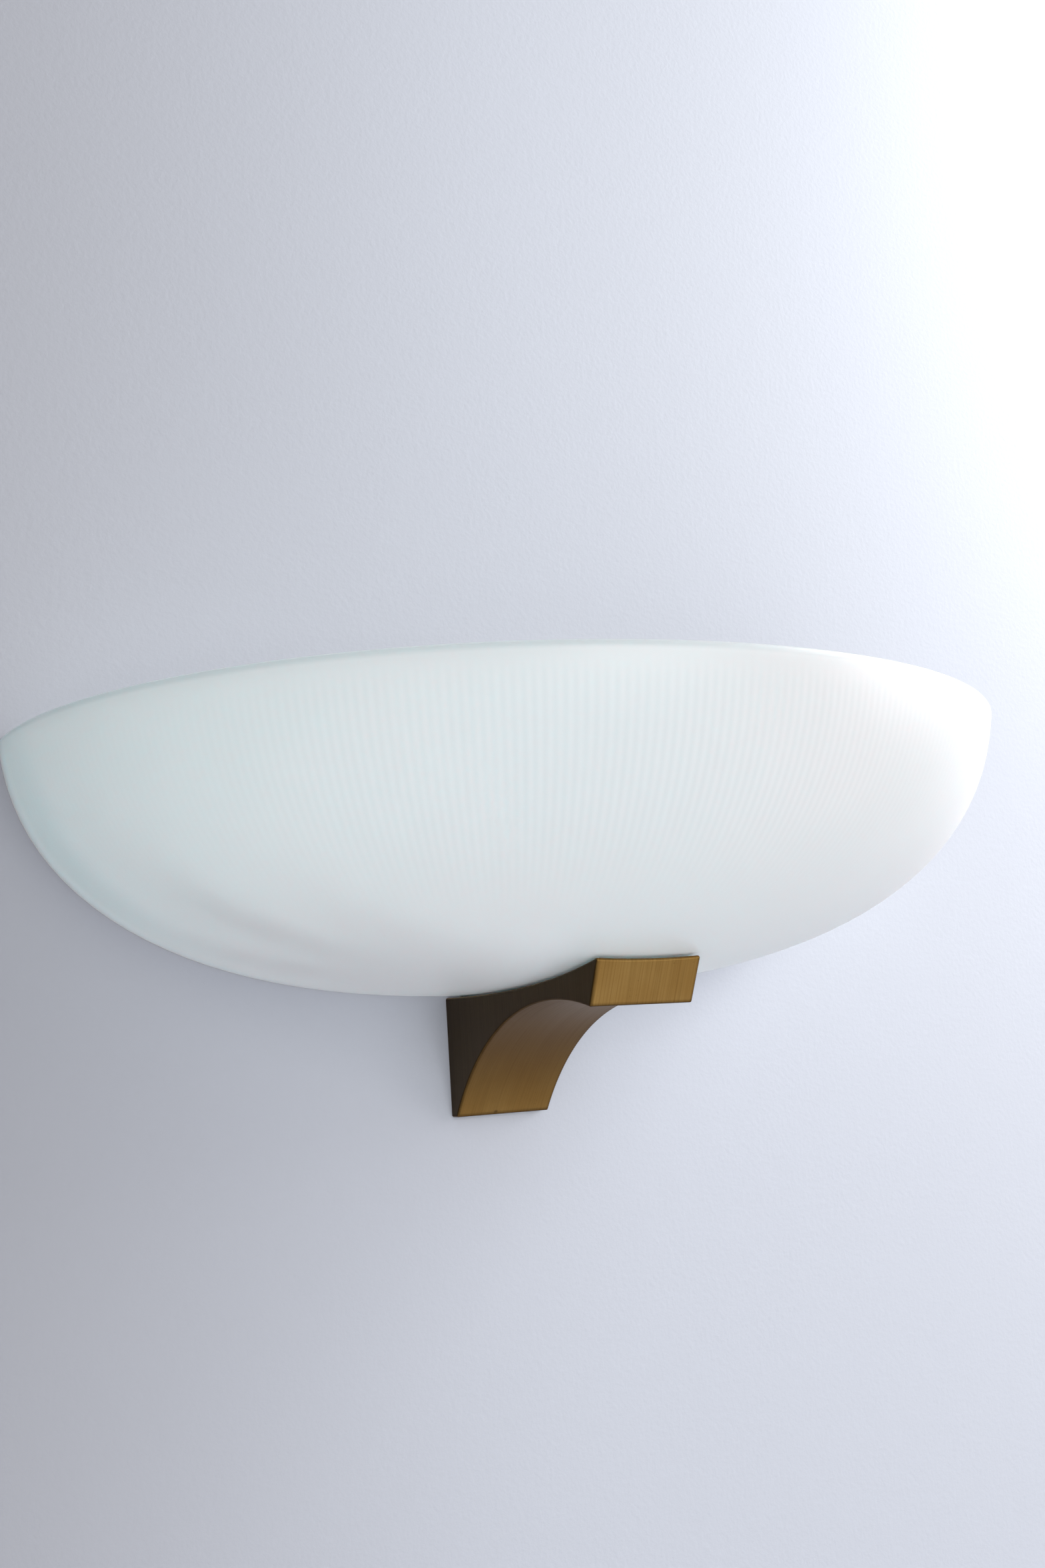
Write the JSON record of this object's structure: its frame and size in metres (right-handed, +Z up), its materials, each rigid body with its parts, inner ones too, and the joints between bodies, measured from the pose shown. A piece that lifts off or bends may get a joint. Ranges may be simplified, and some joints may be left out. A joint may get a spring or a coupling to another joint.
{
  "type": "uplighter wall sconce",
  "caption": "Half-round satin glass bowl open at the top, on a small cast brass arm, with a double-ended tube lamp inside.",
  "frame": {"origin": "on the wall, on the sconce's centre line, halfway between the two wall-screw slots", "axes": "+Z up, +Y into the wall, +X along the wall to the right of someone who faces the sconce"},
  "size_m": [0.3994, 0.2111, 0.1465],
  "materials": {
    "satin_glass": "acid-etched satin outside, fine ribs inside",
    "antique_brass": "vertically brushed, darkened and lacquered",
    "silicone": "translucent white, matt",
    "zinc_steel": "bright zinc plate",
    "plain_brass": "plain turned brass",
    "white_steel": "white enamel, satin",
    "grey_rubber": "moulded, matt",
    "white_reflector": "heat-resistant white enamel",
    "steatite": "unglazed, cream",
    "spring_steel": "drawn wire",
    "quartz": "clear and smooth",
    "tungsten": "drawn wire",
    "brown_sleeve": "braided glass-fibre sleeve",
    "blue_sleeve": "braided glass-fibre sleeve",
    "green_sleeve": "braided glass-fibre sleeve, green and yellow",
    "nylon": "natural, matt"
  },
  "bodies": {
    "fixture": {"glass_bowl": "satin_glass", "bracket_casting": "antique_brass", "seat_pad": "silicone", "clamp_stud": "zinc_steel", "glass_sleeve": "silicone", "clamp_gasket": "silicone", "clamp_washer": "zinc_steel", "wall_plate": "white_steel", "casting_screws": "zinc_steel", "cable_grommet": "grey_rubber", "lamp_carrier": "white_steel", "carrier_screws": "zinc_steel", "holder_strip": "zinc_steel", "reflector": "white_reflector", "reflector_screws": "zinc_steel", "lamp_holder_right": "steatite", "lamp_holder_left": "steatite", "contact_spring_right": "spring_steel", "contact_spring_left": "spring_steel", "end_plates": "plain_brass", "holder_rivets": "zinc_steel", "lamp_tube": "quartz", "lamp_filament": "tungsten", "lamp_caps": "steatite", "terminal_block": "steatite", "terminal_sleeves": "plain_brass", "terminal_screws": "zinc_steel", "block_screws": "zinc_steel", "live_lead": "brown_sleeve", "neutral_lead": "blue_sleeve", "earth_lead": "green_sleeve", "lead_clips": "nylon", "earth_tag": "plain_brass", "earth_screw": "zinc_steel"},
    "contact_right": {"contact_right": "plain_brass"},
    "contact_left": {"contact_left": "plain_brass"},
    "clamp_nut": {"clamp_nut": "plain_brass"}
  },
  "joints": [
    {"name": "contact_right_push", "type": "slide", "parent": "fixture", "child": "contact_right", "axis": [1, 0, 0], "range_m": [0, 0.0025], "stiffness_N_per_m": 1000, "springref_m": -0.003, "deforming": ["contact_spring_right"]},
    {"name": "contact_left_push", "type": "slide", "parent": "fixture", "child": "contact_left", "axis": [-1, 0, 0], "range_m": [0, 0.0025], "stiffness_N_per_m": 1000, "springref_m": -0.003, "deforming": ["contact_spring_left"]},
    {"name": "clamp_nut_turn", "type": "hinge", "parent": "fixture", "child": "clamp_nut", "pos_m": [0, -0.05, -0.0355], "axis": [0, 0, 1], "continuous": true}
  ]
}
